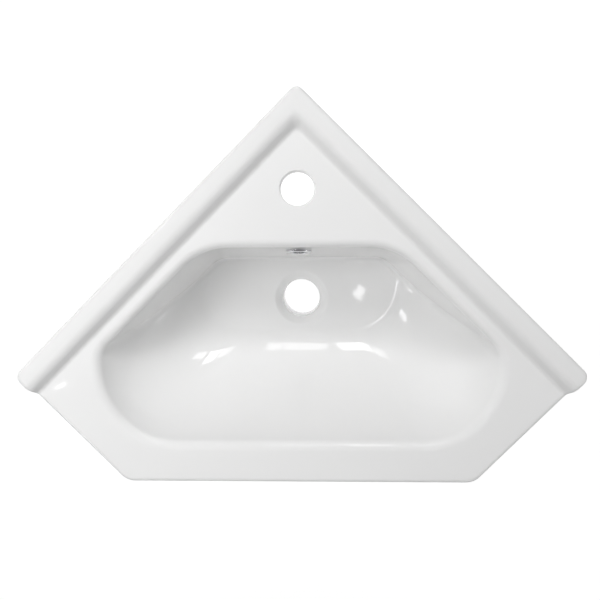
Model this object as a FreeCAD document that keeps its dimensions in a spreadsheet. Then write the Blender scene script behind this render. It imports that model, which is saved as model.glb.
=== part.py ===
"""Corner basin of vitreous china, 590 x 408 mm, for hanging in the corner of two walls.

Frame: millimetres, +Z up, +X to the right as seen from the front, +Y towards the corner.
The origin is where the two wall planes meet, level with the deck, so the basin lies at -Y.
The left wall plane runs from the origin towards (-X, -Y), the right one towards (+X, -Y).
"""
import FreeCAD, Part
import math
import os

import Sketcher

Vector = FreeCAD.Vector
Rotation = FreeCAD.Rotation
Placement = FreeCAD.Placement

# Driving dimensions, in millimetres and degrees.
SIZES = {
    # outline of the deck
    "overall_width": 590,  # from wall tip to wall tip
    "overall_depth": 408,  # from the corner to the front edge
    "corner_rounding": 8,  # plan radius where the two walls meet
    "tip_rounding": 10,  # plan radius of the two wall tips
    "front_rounding": 20,  # plan radius between front edge and end edges
    "deck_thickness": 13,
    "edge_rounding": 4,  # around the top edge of the casting
    # raised ledge along both walls
    "ledge_height": 13,
    "ledge_width": 20.8,  # flat top, from the wall to the sharp inner edge
    "ledge_lean": 30,  # of the inner face, from upright
    "ledge_crest_radius": 11,
    "ledge_foot_radius": 5,
    "ledge_corner_radius": 8,  # plan radius of its inner corner
    # apron at the front and the ends, flanges along the walls
    "apron_height": 46,
    "apron_thickness": 9,
    "flange_thickness": 11,
    "flange_height": 122,
    "flange_length": 235,  # full height from the corner to here
    "flange_ramp": 90,  # then it slopes up to the apron within this
    # bowl
    "bowl_back": 162,  # corner to the back edge of the rim
    "bowl_wall_gap": 43.3,  # wall plane to the slanting edges of the rim
    "bowl_side_land": 86,  # tip of the deck to the side of the rim, along X
    "bowl_front_land": 41.5,  # rim to the front edge of the deck
    "bowl_depth": 104,
    "bowl_draft": 6.4,  # of the back walls, from upright
    "floor_length": 79,  # floor of the bowl, back to front
    "floor_flare": 21,  # its sides beyond the sharp corners of its back edge
    "slope_entry": 1.3,  # how the slopes start at the rim
    "slope_exit": 0.714,  # how they flatten at the floor
    "back_corner_radius": 70,  # plan radii of the bowl at the rim
    "side_corner_radius": 30,
    "back_foot_corner_radius": 30,  # and at the floor
    "side_foot_corner_radius": 18,
    "side_flat": 3,  # straight between the side radii
    "rim_radius": 9,
    "foot_radius": 5.5,  # between back walls and floor
    "casting_wall": 9,
    # waste
    "waste_from_foot": 41.95,  # back edge of the bowl's floor to the waste axis
    "waste_radius": 21.5,
    "waste_edge_radius": 1,
    "waste_hole_length": 50,
    "dish_radius": 31,
    "dish_lean": 62,  # of the dish's side, from upright
    "dish_depth": 4,
    "dish_lip_radius": 6,
    "boss_radius": 38,
    # tap hole
    "tap_back": 103,  # corner to the tap axis
    "tap_radius": 17.5,
    "tap_edge_radius": 1.6,
    # overflow
    "overflow_drop": 31,  # deck to the centre of the overflow hole
    "overflow_radius": 12,
    "slot_width": 26,  # slot from the duct into the waste hole
    "slot_height": 14,
    "slot_floor": 8,  # ceramic left under the slot
    "duct_width": 52,
    "duct_depth": 18,  # behind the bowl's outside
    "duct_wall": 6,
    "duct_knee_drop": 14,  # floor of the bowl down to where the duct turns forward
    "duct_foot_gap": 8,  # its back to the waste boss, at the bottom
    "duct_rounding": 6,
    # overflow ring and the sleeve that holds it
    "ring_radius": 13.6,
    "ring_flange": 3,
    "ring_seat_gap": 0.1,  # from the wall of the bowl to the back of the flange
    "ring_bore_radius": 10,
    "ring_barrel_wall": 0.8,
    "ring_barrel_length": 12,
    "ring_edge_radius": 1.2,
    "ring_bar_width": 1.5,
    "ring_bar_height": 2.3,
    "ring_bar_sink": 1.6,  # top of the bars below the face of the ring
    "ring_bar_middle": 7.1,  # ring axis to the middle of a bar
    "sleeve_clearance": 0.1,  # to the ring's barrel
    "sleeve_hole_clearance": 0.2,
    "sleeve_length": 14,
    "sleeve_lip": 0.9,  # beyond the sleeve, behind the china
    "sleeve_lip_length": 1.6,
    "sleeve_lip_gap": 0.3,
    "sleeve_slot_width": 2,
    "sleeve_slot_length": 10,
    # wall fixings
    "fixing_along": 190,  # along the wall from the corner
    "fixing_drop": 88,
    "fixing_hole_radius": 8,
    "collar_clearance": 0.2,
    "collar_bore_radius": 5.5,
    "collar_setback": 1,  # end of the collar from the wall
    "collar_flange_radius": 14,
    "collar_flange": 3,
}

ROOT_HALF = math.sqrt(0.5)
# Level sections of the bowl: on the straight walls as shares of its depth, then on the
# rounding between wall and floor as angles turned, the last one being the floor itself.
WALL_SHARES = [0, 0.12, 0.3, 0.5, 0.7, 0.86]
FOOT_TURNS = ["Sizes.bowl_draft", 35, 60, 90]

doc = FreeCAD.newDocument("corner_basin")
sheet = doc.addObject("Spreadsheet::Sheet", "Sizes")


def fill_sheet():
    """One row for each driving dimension: its name, its value and the alias that bodies use."""
    for row, (name, value) in enumerate(SIZES.items(), start=1):
        sheet.set(f"A{row}", name)
        sheet.set(f"B{row}", str(value))
        sheet.setAlias(f"B{row}", name)
    doc.recompute()


def size(name):
    return float(getattr(sheet, name))


def origin_plane(body, role):
    return next(f for f in body.Origin.OriginFeatures if f.Role == role)


def new_sketch(body, name, role="XY_Plane", lift=None, lift_axis="z"):
    """A sketch on one of the body's own planes, moved off it by an expression where lift is given."""
    sketch = body.newObject("Sketcher::SketchObject", name)
    sketch.AttachmentSupport = [(origin_plane(body, role), "")]
    sketch.MapMode = "FlatFace"
    if lift:
        sketch.setExpression(f".AttachmentOffset.Base.{lift_axis}", lift)
    return sketch


def bind(sketch, constraint, expression):
    """Adds a dimension and drives it from the sheet."""
    index = sketch.addConstraint(constraint)
    sketch.setExpression(f"Constraints[{index}]", expression)
    return index


def closed_lines(sketch, points):
    """A closed chain of straight lines whose ends are joined; returns the index of the first."""
    first = sketch.GeometryCount
    count = len(points)
    for i in range(count):
        a, b = points[i], points[(i + 1) % count]
        sketch.addGeometry(Part.LineSegment(Vector(*a, 0), Vector(*b, 0)), False)
    for i in range(count):
        sketch.addConstraint(
            Sketcher.Constraint("Coincident", first + i, 2, first + (i + 1) % count, 1))
    return first


def value(text):
    """Number that an expression on the sheet gives."""
    return float(sheet.evalExpression(text))


def foot_inset(turn):
    """How far the back walls have come in where the rounding into the floor has turned this far."""
    touch = "(Sizes.bowl_depth - Sizes.foot_radius * (1 - sin(Sizes.bowl_draft)))"
    return (f"({touch} * tan(Sizes.bowl_draft)"
            f" + Sizes.foot_radius * (cos(Sizes.bowl_draft) - cos({turn})))")


FLOOR_BACK = f"(Sizes.bowl_back + {foot_inset(90)})"
WASTE_BACK = f"({FLOOR_BACK} + Sizes.waste_from_foot)"
WASTE_BOTTOM = "(Sizes.bowl_depth + Sizes.dish_depth + Sizes.waste_hole_length)"


def bowl_levels():
    """Depth of each level section and how far the back walls have come in by then."""
    levels = [(f"Sizes.bowl_depth * {share}", f"Sizes.bowl_depth * {share} * tan(Sizes.bowl_draft)")
              for share in WALL_SHARES]
    for turn in FOOT_TURNS:
        depth = f"(Sizes.bowl_depth - Sizes.foot_radius * (1 - sin({turn})))"
        levels.append((depth, foot_inset(turn)))
    return levels


def bowl_section(body, name, level, wall="0"):
    """Level section of the bowl: back edge, two slanting edges parallel to the walls, two short
    sides and the front edge, joined by arcs. A wall moves it outwards, and down, for the outside
    of the casting."""
    depth_text, inset = level
    lift = f"-({depth_text}) - {wall}"
    if wall != "0" and value(depth_text) == 0:
        lift = "-Sizes.deck_thickness / 2"
    sketch = new_sketch(body, name, lift=lift)
    share = f"(({depth_text}) / Sizes.bowl_depth)"
    # share of a slope's run that is used up at this depth
    run = f"(1 - (1 - {share}^Sizes.slope_entry)^Sizes.slope_exit)"
    back_text = f"Sizes.bowl_back + {inset} - {wall}"
    gap_text = f"Sizes.bowl_wall_gap + {inset} - {wall}"
    floor_side = (f"({FLOOR_BACK} - (Sizes.bowl_wall_gap + {foot_inset(90)}) * sqrt(2)"
                  " + Sizes.floor_flare)")
    rim_side = "(Sizes.overall_width / 2 - Sizes.bowl_side_land)"
    rim_front = "(Sizes.overall_depth - Sizes.bowl_front_land)"
    side_text = f"{rim_side} * (1 - {run}) + {floor_side} * {run} + {wall}"
    front_text = (f"{rim_front} * (1 - {run}) + ({FLOOR_BACK} + Sizes.floor_length) * {run}"
                  f" + {wall}")
    back_r_text = (f"Sizes.back_corner_radius * (1 - {share})"
                   f" + Sizes.back_foot_corner_radius * {share}")
    side_r_text = (f"Sizes.side_corner_radius * (1 - {share})"
                   f" + Sizes.side_foot_corner_radius * {share}")
    back, gap, side, front, back_r, side_r = map(
        value, (back_text, gap_text, side_text, front_text, back_r_text, side_r_text))
    flat = size("side_flat")
    eighth = math.tan(math.pi / 8)
    back_x = back - gap / ROOT_HALF - back_r * eighth
    knee = side + gap / ROOT_HALF  # depth of the sharp corner between slant and side
    flat_top = knee + side_r * eighth
    front_r = front - flat_top - flat
    slant_top = Vector(back_x + back_r * ROOT_HALF, -back - back_r * (1 - ROOT_HALF), 0)
    slant_foot = Vector(side - side_r * (1 - ROOT_HALF), -flat_top + side_r * ROOT_HALF, 0)

    def mirrored(point):
        return Vector(-point.x, point.y, 0)

    def arc(centre, radius, start):
        circle = Part.Circle(centre, Vector(0, 0, 1), radius)
        sweep = 90 if start in (180, 270) else 45
        return Part.ArcOfCircle(circle, math.radians(start), math.radians(start + sweep))

    back_centre = Vector(back_x, -back - back_r, 0)
    side_centre = Vector(side - side_r, -flat_top, 0)
    front_centre = Vector(side - front_r, -front + front_r, 0)
    flat_head = Vector(side, -flat_top, 0)
    flat_foot = Vector(side, -flat_top - flat, 0)
    front_end = Vector(side - front_r, -front, 0)
    back_end = Vector(back_x, -back, 0)
    sketch.addGeometry([
        Part.LineSegment(back_end, mirrored(back_end)),
        arc(mirrored(back_centre), back_r, 90),
        Part.LineSegment(mirrored(slant_top), mirrored(slant_foot)),
        arc(mirrored(side_centre), side_r, 135),
        Part.LineSegment(mirrored(flat_head), mirrored(flat_foot)),
        arc(mirrored(front_centre), front_r, 180),
        Part.LineSegment(mirrored(front_end), front_end),
        arc(front_centre, front_r, 270),
        Part.LineSegment(flat_foot, flat_head),
        arc(side_centre, side_r, 0),
        Part.LineSegment(slant_foot, slant_top),
        arc(back_centre, back_r, 45),
    ], False)
    for i in range(12):
        sketch.addConstraint(Sketcher.Constraint("Tangent", i, 2, (i + 1) % 12, 1))
    sketch.addConstraint(Sketcher.Constraint("Symmetric", 0, 1, 0, 2, -2))
    sketch.addConstraint(Sketcher.Constraint("Symmetric", 6, 1, 6, 2, -2))
    sketch.addConstraint(Sketcher.Constraint("Vertical", 4))
    sketch.addConstraint(Sketcher.Constraint("Vertical", 8))
    for left, right in ((1, 11), (3, 9), (5, 7)):
        sketch.addConstraint(Sketcher.Constraint("Equal", left, right))
    sketch.addConstraint(Sketcher.Constraint("Perpendicular", 2, 10))
    sketch.addConstraint(Sketcher.Constraint("Angle", 10, math.radians(135)))
    bind(sketch, Sketcher.Constraint("DistanceY", 0, 1, -1, 1, back), back_text)
    bind(sketch, Sketcher.Constraint("DistanceY", 6, 1, -1, 1, front), front_text)
    bind(sketch, Sketcher.Constraint("DistanceX", -1, 1, 8, 1, side), side_text)
    bind(sketch, Sketcher.Constraint("Distance", -1, 1, 10, gap), gap_text)
    bind(sketch, Sketcher.Constraint("Radius", 11, back_r), back_r_text)
    bind(sketch, Sketcher.Constraint("Radius", 9, side_r), side_r_text)
    bind(sketch, Sketcher.Constraint("DistanceY", 8, 1, 8, 2, flat), "Sizes.side_flat")
    return sketch


def add_pad(body, name, sketch, length, both_ways=False, reverse=False):
    pad = body.newObject("PartDesign::Pad", name)
    pad.Profile = sketch
    pad.SideType = "Symmetric" if both_ways else "One side"
    pad.Reversed = reverse
    pad.setExpression("Length", length)
    return pad


def add_pocket(body, name, sketch, length, both_ways=False, reverse=False, lean=None):
    """A pocket that has to take material away, or it points the wrong way."""
    doc.recompute()
    before = body.Shape.Volume
    pocket = body.newObject("PartDesign::Pocket", name)
    pocket.Profile = sketch
    pocket.SideType = "Symmetric" if both_ways else "One side"
    pocket.Reversed = reverse
    pocket.setExpression("Length", length)
    if lean:
        pocket.setExpression("TaperAngle", lean)
    doc.recompute()
    if not body.Shape.Volume < before:
        raise RuntimeError(f"{name} cuts nothing")
    return pocket


def add_loft(body, kind, name, sections):
    loft = body.newObject(f"PartDesign::{kind}", name)
    loft.Profile = sections[0]
    loft.Sections = sections[1:]
    loft.Ruled = False
    return loft


def add_mirror(body, name, features):
    """The same features on the left side of the basin."""
    mirror = body.newObject("PartDesign::Mirrored", name)
    mirror.Originals = features
    mirror.MirrorPlane = (origin_plane(body, "YZ_Plane"), [""])
    body.Tip = mirror
    return mirror


def add_fillet(body, name, radius, wanted):
    """Rounds each edge of the body as it stands for which wanted(edge) is true."""
    doc.recompute()
    base = body.Tip
    names = [f"Edge{i}" for i, edge in enumerate(base.Shape.Edges, start=1) if wanted(edge)]
    if not names:
        raise RuntimeError(f"{name} finds no edge")
    fillet = body.newObject("PartDesign::Fillet", name)
    fillet.Base = (base, names)
    fillet.setExpression("Radius", radius)
    doc.recompute()
    return fillet


def bind_point(sketch, geometry, end, x_text, y_text):
    """Holds an end of a line at a place worked out from the sheet."""
    for kind, axis, text in (("DistanceX", -2, x_text), ("DistanceY", -1, y_text)):
        number = value(text)
        if text == "0":
            sketch.addConstraint(Sketcher.Constraint("PointOnObject", geometry, end, axis))
        elif number > 0:
            bind(sketch, Sketcher.Constraint(kind, -1, 1, geometry, end, number), text)
        else:
            bind(sketch, Sketcher.Constraint(kind, geometry, end, -1, 1, -number), f"-({text})")


def polygon(sketch, corners):
    """Closed outline through corners, each a pair of expressions."""
    points = [(value(x), value(y)) for x, y in corners]
    first = closed_lines(sketch, points)
    for i, (x_text, y_text) in enumerate(corners):
        bind_point(sketch, first + i, 1, x_text, y_text)


def circle(sketch, radius, x_text, y_text):
    """A hole or round boss whose centre is given by expressions."""
    centre = Vector(value(x_text), value(y_text), 0)
    index = sketch.addGeometry(Part.Circle(centre, Vector(0, 0, 1), value(radius)), False)
    bind_point(sketch, index, 3, x_text, y_text)
    bind(sketch, Sketcher.Constraint("Radius", index, value(radius)), radius)


def mirror_corners(corners):
    """Adds the left half of an outline given from its point on the axis down the right half."""
    left = [(f"-({x})", y) for x, y in reversed(corners) if x != "0"]
    return corners + left


def deck_outline(wall_inset="0", edge_inset="0"):
    """Corners of the deck's plan: a square with its corner at the origin and its sides along
    the walls, whose fourth corner is cut off by the front edge. The insets move the wall
    sides and the other sides inwards."""
    half = "Sizes.overall_width / 2"
    tip_x = f"{half} - ({edge_inset} + {wall_inset}) * sqrt(0.5)"
    tip_y = f"-{half} + ({edge_inset} - {wall_inset}) * sqrt(0.5)"
    front_x = f"Sizes.overall_width - Sizes.overall_depth - ({edge_inset}) * (sqrt(2) - 1)"
    front_y = f"-Sizes.overall_depth + {edge_inset}"
    return mirror_corners([("0", f"-({wall_inset}) * sqrt(2)" if wall_inset != "0" else "0"),
                           (tip_x, tip_y), (front_x, front_y)])


def on_wall(sketch):
    """Turns a sketch from the body's XZ plane onto the right wall plane: its x runs from the
    corner along the wall, its y is up and its normal points into the basin."""
    sketch.AttachmentOffset = Placement(Vector(0, 0, 0), Rotation(Vector(0, 1, 0), -45))


def on_back_wall(sketch):
    """Turns a sketch from the XZ plane square to the bowl's back wall at the overflow."""
    sketch.AttachmentOffset = Placement(Vector(0, 0, 0), Rotation(Vector(-1, 0, 0), 10))
    sketch.setExpression(".AttachmentOffset.Rotation.Angle", "Sizes.bowl_draft")
    sketch.setExpression(".AttachmentOffset.Base.y", "-Sizes.overflow_drop")
    sketch.setExpression(".AttachmentOffset.Base.z",
                         "Sizes.bowl_back + Sizes.overflow_drop * tan(Sizes.bowl_draft)")


def near(a, b, slack=0.05):
    return abs(a - b) < slack


def flat_at(edge, height):
    """True for an edge that lies level at this height."""
    box = edge.BoundBox
    return near(box.ZMin, height) and near(box.ZMax, height)


def wall_distance(point):
    """Distance from the nearer wall plane."""
    return (-point.y - abs(point.x)) * ROOT_HALF


def round_outline(body):
    """Rounds the ledge, the upright corners and the top edge all the way round."""
    half = size("overall_width") / 2
    front = size("overall_depth")
    top = size("ledge_height")
    ledge_foot = size("ledge_width") + top * math.tan(math.radians(size("ledge_lean")))

    def ledge_corner(edge):
        box = edge.BoundBox
        return (near(box.XMin, 0) and near(box.XMax, 0) and near(box.ZMax, top)
                and near(box.ZMin, 0) and box.YMax < -size("ledge_width"))

    def level_off_wall(height, distance):
        return lambda edge: (flat_at(edge, height)
                             and near(wall_distance(edge.CenterOfMass), distance, 3))

    def upright_at(x, y):
        def wanted(edge):
            box = edge.BoundBox
            return (near(abs(box.XMin), x) and near(abs(box.XMax), x) and near(box.YMin, y)
                    and near(box.YMax, y) and box.ZLength > 1)
        return wanted

    def top_outline(edge):
        middle = edge.CenterOfMass
        from_end = (2 * half - abs(middle.x) + middle.y) * ROOT_HALF
        inset = min(wall_distance(middle), from_end, front + middle.y)
        box = edge.BoundBox
        return box.ZMin > -0.05 and box.ZLength < top - 1 and inset < size("edge_rounding") + 2

    add_fillet(body, "ledge_corner", "Sizes.ledge_corner_radius", ledge_corner)
    add_fillet(body, "ledge_foot", "Sizes.ledge_foot_radius", level_off_wall(0, ledge_foot))
    add_fillet(body, "ledge_crest", "Sizes.ledge_crest_radius",
               level_off_wall(top, size("ledge_width")))
    add_fillet(body, "wall_corner", "Sizes.corner_rounding", upright_at(0, 0))
    add_fillet(body, "tip_corners", "Sizes.tip_rounding", upright_at(half, -half))
    add_fillet(body, "front_corners", "Sizes.front_rounding",
               upright_at(2 * half - front, -front))
    add_fillet(body, "top_edge", "Sizes.edge_rounding", top_outline)


def round_bowl(body):
    """Rounds the rim of the bowl, the lip of the waste dish and the edges of both holes."""

    def level_circle(height, radius):
        return lambda edge: (flat_at(edge, height) and isinstance(edge.Curve, Part.Circle)
                             and near(edge.Curve.Radius, radius))

    def rim(edge):
        box = edge.BoundBox
        return (flat_at(edge, 0) and box.YMax < -size("bowl_back") + 1
                and box.YMin > -size("overall_depth") + size("bowl_front_land") - 1
                and wall_distance(edge.CenterOfMass) > size("bowl_wall_gap") - 1)

    depth = size("bowl_depth")
    add_fillet(body, "tap_edge", "Sizes.tap_edge_radius", level_circle(0, size("tap_radius")))
    add_fillet(body, "waste_edge", "Sizes.waste_edge_radius",
               level_circle(-depth - size("dish_depth"), size("waste_radius")))
    add_fillet(body, "dish_lip", "Sizes.dish_lip_radius",
               level_circle(-depth, size("dish_radius")))
    add_fillet(body, "rim", "Sizes.rim_radius", rim)


def make_basin_body():
    """The china casting: deck with its ledge, apron, wall flanges, bowl and waste boss."""
    body = doc.addObject("PartDesign::Body", "basin_body")
    outline = new_sketch(body, "deck_plan", lift="-Sizes.apron_height")
    polygon(outline, deck_outline())
    add_pad(body, "block", outline, "Sizes.apron_height + Sizes.ledge_height")

    hollow = new_sketch(body, "hollow_plan", lift="-Sizes.apron_height")
    polygon(hollow, deck_outline("Sizes.flange_thickness", "Sizes.apron_thickness"))
    add_pocket(body, "hollow", hollow, "Sizes.apron_height - Sizes.deck_thickness", reverse=True)

    side = new_sketch(body, "flange_side", "XZ_Plane")
    on_wall(side)
    polygon(side, [("0", "-Sizes.deck_thickness / 2"),
                   ("Sizes.flange_length + Sizes.flange_ramp", "-Sizes.deck_thickness / 2"),
                   ("Sizes.flange_length + Sizes.flange_ramp", "-Sizes.apron_height"),
                   ("Sizes.flange_length", "-Sizes.flange_height"),
                   ("0", "-Sizes.flange_height")])
    flange = add_pad(body, "flange", side, "Sizes.flange_thickness")
    fixing = new_sketch(body, "fixing_centre", "XZ_Plane")
    on_wall(fixing)
    circle(fixing, "Sizes.fixing_hole_radius", "Sizes.fixing_along", "-Sizes.fixing_drop")
    hole = add_pocket(body, "fixing_hole", fixing, "Sizes.flange_thickness * 2", reverse=True)
    add_mirror(body, "left_flange", [flange, hole])

    ledge = new_sketch(body, "ledge_plan", lift="Sizes.ledge_height")
    beyond = "Sizes.overall_width / 2 + Sizes.ledge_height * 4"
    polygon(ledge, mirror_corners([("0", "-Sizes.ledge_width * sqrt(2)"),
                                   (beyond, f"-({beyond}) - Sizes.ledge_width * sqrt(2)"),
                                   (beyond, f"-Sizes.overall_depth - ({beyond})")]))
    add_pocket(body, "deck_level", ledge, "Sizes.ledge_height", lean="-Sizes.ledge_lean")

    round_outline(body)

    add_loft(body, "AdditiveLoft", "bowl_outside",
             [bowl_section(body, f"outside_{i}", level, "Sizes.casting_wall")
              for i, level in enumerate(bowl_levels())])
    boss = new_sketch(body, "boss_plan", lift=f"-{WASTE_BOTTOM}")
    circle(boss, "Sizes.boss_radius", "0", f"-{WASTE_BACK}")
    add_pad(body, "boss", boss, "Sizes.waste_hole_length + Sizes.dish_depth")
    doc.recompute()
    add_loft(body, "SubtractiveLoft", "bowl_inside",
             [bowl_section(body, f"inside_{i}", level) for i, level in enumerate(bowl_levels())])

    dish = new_sketch(body, "dish_plan", lift="-Sizes.bowl_depth")
    circle(dish, "Sizes.dish_radius", "0", f"-{WASTE_BACK}")
    add_pocket(body, "dish", dish, "Sizes.dish_depth", lean="-Sizes.dish_lean")
    waste = new_sketch(body, "waste_plan", lift="-Sizes.bowl_depth")
    circle(waste, "Sizes.waste_radius", "0", f"-{WASTE_BACK}")
    add_pocket(body, "waste_hole", waste, "Sizes.dish_depth + Sizes.waste_hole_length + 1")
    tap = new_sketch(body, "tap_plan")
    circle(tap, "Sizes.tap_radius", "0", "-Sizes.tap_back")
    add_pocket(body, "tap_hole", tap, "Sizes.deck_thickness * 2")
    overflow = new_sketch(body, "overflow_plan", "XZ_Plane")
    on_back_wall(overflow)
    circle(overflow, "Sizes.overflow_radius", "0", "0")
    add_pocket(body, "overflow_hole", overflow, "Sizes.casting_wall * 3", both_ways=True)
    slot = new_sketch(body, "slot_side", "XZ_Plane", lift=WASTE_BACK)
    slot_foot = f"-{WASTE_BOTTOM} + Sizes.slot_floor"
    polygon(slot, [("Sizes.slot_width / 2", slot_foot),
                   ("Sizes.slot_width / 2", f"{slot_foot} + Sizes.slot_height"),
                   ("-Sizes.slot_width / 2", f"{slot_foot} + Sizes.slot_height"),
                   ("-Sizes.slot_width / 2", slot_foot)])
    add_pocket(body, "overflow_slot", slot, "Sizes.boss_radius * 1.2")
    round_bowl(body)
    return body


def revolved(body, name, corners):
    """A turned shape about the body's Z axis; corners are radius and height."""
    profile = new_sketch(body, f"{name}_profile", "XZ_Plane")
    polygon(profile, corners)
    turned = body.newObject("PartDesign::Revolution", name)
    turned.Profile = profile
    turned.ReferenceAxis = (profile, ["V_Axis"])
    turned.Angle = 360
    return turned


def place_at_overflow(body):
    """Local Z runs along the overflow hole, out into the bowl, from the face of the back wall."""
    body.Placement = Placement(Vector(0, 0, 0), Rotation(Vector(1, 0, 0), 80))
    body.setExpression(".Placement.Rotation.Angle", "90 - Sizes.bowl_draft")
    body.setExpression(".Placement.Base.y",
                       "-Sizes.bowl_back - Sizes.overflow_drop * tan(Sizes.bowl_draft)")
    body.setExpression(".Placement.Base.z", "-Sizes.overflow_drop")


def make_overflow_duct(basin):
    """China channel stuck behind the bowl: it leads from the overflow hole down to the slot in
    the waste boss, and ends against the casting wherever it meets it."""
    blank = doc.addObject("PartDesign::Body", "duct_blank")
    lean = "tan(Sizes.bowl_draft)"
    top = "Sizes.deck_thickness / 2"
    bottom = f"({WASTE_BOTTOM} - Sizes.slot_floor + Sizes.duct_wall)"
    back = "(Sizes.bowl_back - Sizes.casting_wall - Sizes.duct_depth)"
    knee = "(Sizes.bowl_depth + Sizes.duct_knee_drop)"
    knee_back = f"({back} + ({knee} - {top}) * {lean})"
    foot_back = f"({WASTE_BACK} - Sizes.boss_radius - Sizes.duct_foot_gap)"
    # The front of the blank runs inside the thickness of the casting.
    wall_top = "(Sizes.bowl_back - Sizes.casting_wall / 2)"
    wall_foot = "(Sizes.bowl_depth - Sizes.casting_wall * 0.75)"
    wall_foot_back = f"({wall_top} + {wall_foot} * {lean})"
    floor = "(Sizes.bowl_depth + Sizes.casting_wall / 2)"
    front = f"({WASTE_BACK} - Sizes.boss_radius * 0.65)"
    side = new_sketch(blank, "duct_side", "YZ_Plane")
    polygon(side, [(f"-{back}", f"-{top}"),
                   (f"-{knee_back}", f"-{knee}"),
                   (f"-{foot_back}", f"-{bottom}"),
                   (f"-{front}", f"-{bottom}"),
                   (f"-{front}", f"-{floor}"),
                   (f"-({wall_foot_back} + Sizes.foot_radius)", f"-{floor}"),
                   (f"-{wall_foot_back}", f"-{wall_foot}"),
                   (f"-{wall_top}", f"-{top}")])
    add_pad(blank, "duct_block", side, "Sizes.duct_width", both_ways=True)

    def back_edge(edge):
        middle = edge.CenterOfMass
        outside = (size("bowl_back") - size("casting_wall")
                   - middle.z * math.tan(math.radians(size("bowl_draft"))))
        across = near(edge.BoundBox.XLength, size("duct_width"))
        upright = near(edge.BoundBox.XLength, 0)
        return middle.y > -outside and (upright or across and middle.z < -size("boss_radius"))

    add_fillet(blank, "duct_rounding", "Sizes.duct_rounding", back_edge)
    roof = "(Sizes.deck_thickness + Sizes.duct_wall)"
    inner_back = f"({back} + Sizes.duct_wall + ({roof} - {top}) * {lean})"
    open_front = f"({WASTE_BACK} - Sizes.boss_radius / 4)"
    inner_bottom = f"({WASTE_BOTTOM} - Sizes.slot_floor)"
    channel = new_sketch(blank, "channel_side", "YZ_Plane")
    polygon(channel, [(f"-{inner_back}", f"-{roof}"),
                      (f"-({knee_back} + Sizes.duct_wall)", f"-{knee}"),
                      (f"-({foot_back} + Sizes.duct_wall)", f"-{inner_bottom}"),
                      (f"-{open_front}", f"-{inner_bottom}"),
                      (f"-{open_front}", f"-{roof}")])
    add_pocket(blank, "channel", channel, "Sizes.duct_width - Sizes.duct_wall * 2",
               both_ways=True)
    duct = doc.addObject("Part::Cut", "overflow_duct")
    duct.Base = blank
    duct.Tool = basin
    return duct


def make_overflow_ring():
    """Plated ring with two upright bars, pushed into the overflow hole from the bowl."""
    body = doc.addObject("PartDesign::Body", "overflow_ring")
    barrel = "Sizes.ring_bore_radius + Sizes.ring_barrel_wall"
    turned = revolved(body, "ring", [
        ("Sizes.ring_bore_radius", "-Sizes.ring_barrel_length"),
        (barrel, "-Sizes.ring_barrel_length"),
        (barrel, "Sizes.ring_seat_gap"),
        ("Sizes.ring_radius", "Sizes.ring_seat_gap"),
        ("Sizes.ring_radius", "Sizes.ring_flange"),
        ("Sizes.ring_bore_radius", "Sizes.ring_flange")])
    add_fillet(body, "ring_edges", "Sizes.ring_edge_radius",
               lambda edge: (near(edge.BoundBox.ZMin, size("ring_flange"))
                             and near(edge.BoundBox.ZMax, size("ring_flange"))))
    bars = new_sketch(body, "bar_plan",
                      lift="Sizes.ring_flange - Sizes.ring_bar_sink - Sizes.ring_bar_height")
    reach = "Sizes.ring_bore_radius + Sizes.ring_barrel_wall / 2"
    outer = "(Sizes.ring_bar_middle + Sizes.ring_bar_width / 2)"
    inner = "(Sizes.ring_bar_middle - Sizes.ring_bar_width / 2)"
    half_bar = f"sqrt(({reach})^2 - {outer}^2)"
    for sign in ("", "-"):
        polygon(bars, [(f"{sign}{inner}", f"-{half_bar}"), (f"{sign}{outer}", f"-{half_bar}"),
                       (f"{sign}{outer}", half_bar), (f"{sign}{inner}", half_bar)])
    add_pad(body, "bars", bars, "Sizes.ring_bar_height")
    place_at_overflow(body)
    return body


def make_overflow_sleeve():
    """Slit plastic sleeve in the overflow hole; its lip snaps behind the china and it grips the
    barrel of the ring."""
    body = doc.addObject("PartDesign::Body", "overflow_sleeve")
    bore = "(Sizes.ring_bore_radius + Sizes.ring_barrel_wall + Sizes.sleeve_clearance)"
    outside = "(Sizes.overflow_radius - Sizes.sleeve_hole_clearance)"
    china = "(Sizes.casting_wall * (cos(Sizes.bowl_draft) + sin(Sizes.bowl_draft)))"
    lip_start = f"({china} + Sizes.sleeve_lip_gap)"
    revolved(body, "sleeve", [
        (bore, "-Sizes.sleeve_length"),
        (outside, "-Sizes.sleeve_length"),
        (f"{outside} + Sizes.sleeve_lip", f"-({lip_start} + Sizes.sleeve_lip_length)"),
        (f"{outside} + Sizes.sleeve_lip", f"-{lip_start}"),
        (outside, f"-{lip_start}"),
        (outside, "0"),
        (bore, "0")])
    reach = f"({outside} + Sizes.sleeve_lip + 1)"
    half_slot = "Sizes.sleeve_slot_width / 2"
    for name, x, y in (("slot_across", reach, half_slot), ("slot_upright", half_slot, reach)):
        slot = new_sketch(body, f"{name}_plan", lift="-Sizes.sleeve_length")
        polygon(slot, [(f"-{x}", f"-{y}"), (x, f"-{y}"), (x, y), (f"-{x}", y)])
        add_pocket(body, name, slot, "Sizes.sleeve_slot_length", reverse=True)
    place_at_overflow(body)
    return body


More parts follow.
